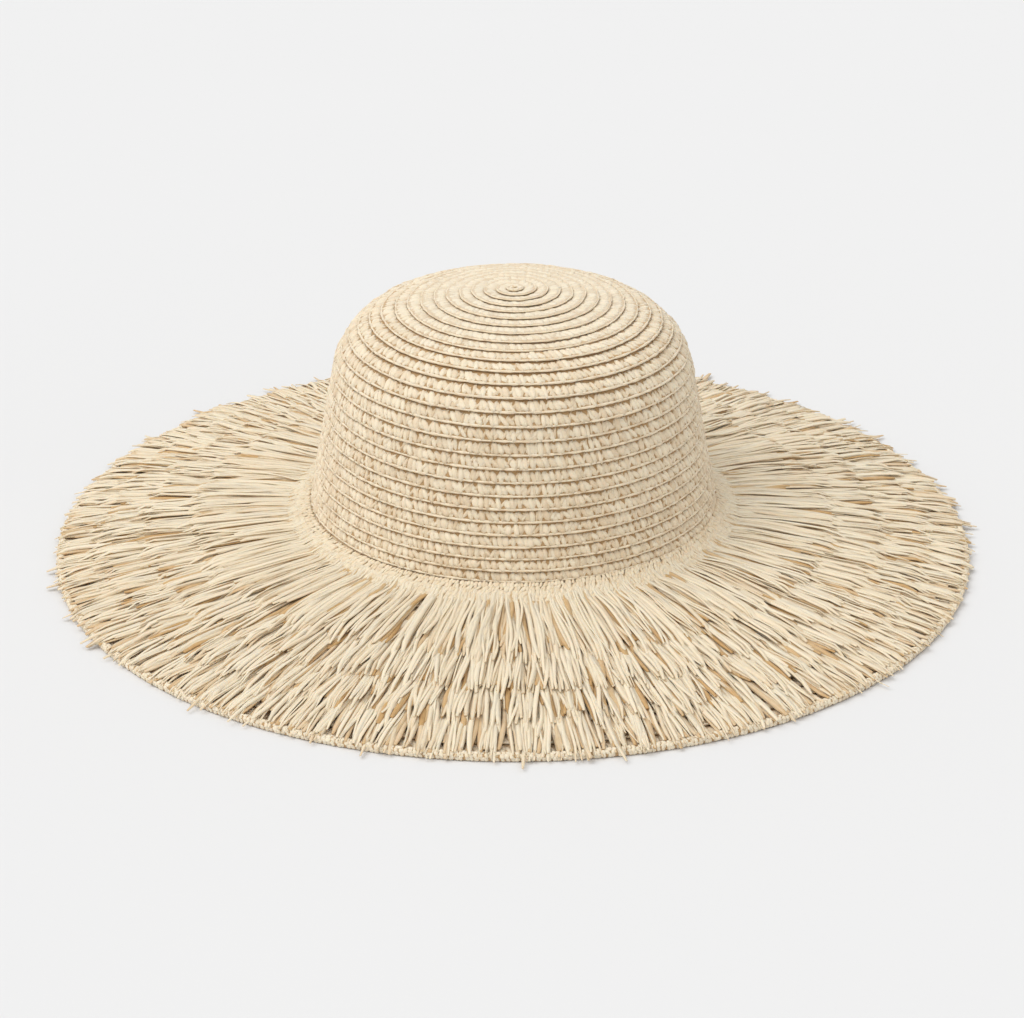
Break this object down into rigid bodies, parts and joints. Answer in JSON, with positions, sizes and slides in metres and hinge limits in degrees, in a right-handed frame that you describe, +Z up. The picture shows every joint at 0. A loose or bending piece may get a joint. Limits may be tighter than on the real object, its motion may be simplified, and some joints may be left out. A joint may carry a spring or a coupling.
{
  "type": "straw sun hat",
  "caption": "Wide-brimmed sun hat: a coiled paper-braid crown with a domed top, and a brim covered by overlapping tiers of raffia fringe with a wired rolled edge.",
  "frame": {"origin": "centre of the hat on the plane that its brim edge rests on", "axes": "+Z up along the crown's axis, -Y towards the wearer's front, +Y towards the back of the hat where the wire's joint and the label are"},
  "size_m": [0.4484, 0.4484, 0.1334],
  "materials": {
    "paper_braid": "matt twisted paper straw",
    "raffia_fringe": "matt crinkled raffia",
    "cotton_tape": "woven",
    "grosgrain": "ribbed woven ribbon",
    "sewing_thread": "spun thread",
    "label_cloth": "satin weave",
    "spring_wire": "drawn wire"
  },
  "bodies": {
    "root": {"brim_braid_row_01": "paper_braid", "brim_braid_row_02": "paper_braid", "brim_braid_row_03": "paper_braid", "brim_braid_row_04": "paper_braid", "brim_braid_row_05": "paper_braid", "brim_braid_row_06": "paper_braid", "brim_braid_row_07": "paper_braid", "brim_braid_row_08": "paper_braid", "brim_braid_row_09": "paper_braid", "brim_braid_row_10": "paper_braid", "brim_braid_row_11": "paper_braid", "brim_braid_row_12": "paper_braid", "brim_braid_row_13": "paper_braid", "brim_braid_row_14": "paper_braid", "brim_braid_row_15": "paper_braid", "brim_braid_row_16": "paper_braid", "brim_braid_row_17": "paper_braid", "brim_edge_binding": "paper_braid", "brim_edge_wire": "spring_wire", "crown_braid_row_01": "paper_braid", "crown_braid_row_02": "paper_braid", "crown_braid_row_03": "paper_braid", "crown_braid_row_04": "paper_braid", "crown_braid_row_05": "paper_braid", "crown_braid_row_06": "paper_braid", "crown_braid_row_07": "paper_braid", "crown_braid_row_08": "paper_braid", "crown_braid_row_09": "paper_braid", "crown_braid_row_10": "paper_braid", "crown_braid_row_11": "paper_braid", "crown_braid_row_12": "paper_braid", "crown_braid_row_13": "paper_braid", "crown_braid_row_14": "paper_braid", "crown_braid_row_15": "paper_braid", "crown_braid_row_16": "paper_braid", "crown_braid_row_17": "paper_braid", "crown_braid_row_18": "paper_braid", "crown_braid_row_19": "paper_braid", "crown_braid_row_20": "paper_braid", "crown_braid_row_21": "paper_braid", "crown_braid_row_22": "paper_braid", "crown_braid_row_23": "paper_braid", "crown_braid_row_24": "paper_braid", "crown_braid_row_25": "paper_braid", "crown_braid_row_26": "paper_braid", "crown_braid_row_27": "paper_braid", "crown_tip_button": "paper_braid", "fringe_header_tape_1": "cotton_tape", "fringe_header_tape_2": "cotton_tape", "fringe_header_tape_3": "cotton_tape", "fringe_header_tape_4": "cotton_tape", "fringe_tier_1": "raffia_fringe", "fringe_tier_2": "raffia_fringe", "fringe_tier_3": "raffia_fringe", "fringe_tier_4": "raffia_fringe", "size_label": "label_cloth", "sweatband": "grosgrain", "sweatband_stitching": "sewing_thread", "wire_joint_sleeve": "spring_wire"}
  },
  "joints": []
}
